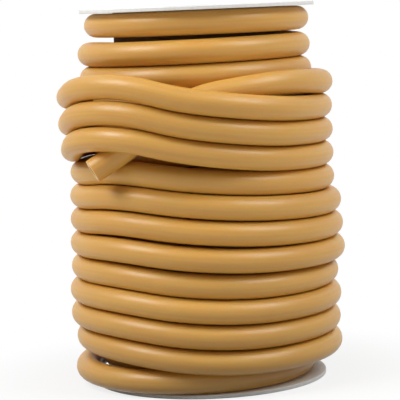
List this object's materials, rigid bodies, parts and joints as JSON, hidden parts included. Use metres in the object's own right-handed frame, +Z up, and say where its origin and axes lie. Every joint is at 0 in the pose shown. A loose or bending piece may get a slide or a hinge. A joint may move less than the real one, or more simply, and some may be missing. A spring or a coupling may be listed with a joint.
{
  "type": "rubber tubing coil",
  "caption": "Amber rubber tubing wound in two layers on a flanged paperboard spool, its free end tucked under the last turns.",
  "frame": {"origin": "on the spool's axis, at the underside of the bottom flange", "axes": "+Z up the spool's axis, -Y towards the side where the free end shows"},
  "size_m": [0.115, 0.12, 0.152],
  "materials": {
    "amber_rubber": "natural amber rubber, smooth satin, slightly translucent",
    "core_paper": "spiral-wound paper tube, matt",
    "flange_board": "white-lined board, smooth matt"
  },
  "bodies": {
    "root": {"tubing": "amber_rubber", "core_tube": "core_paper", "bottom_flange": "flange_board", "top_flange": "flange_board"}
  },
  "joints": []
}
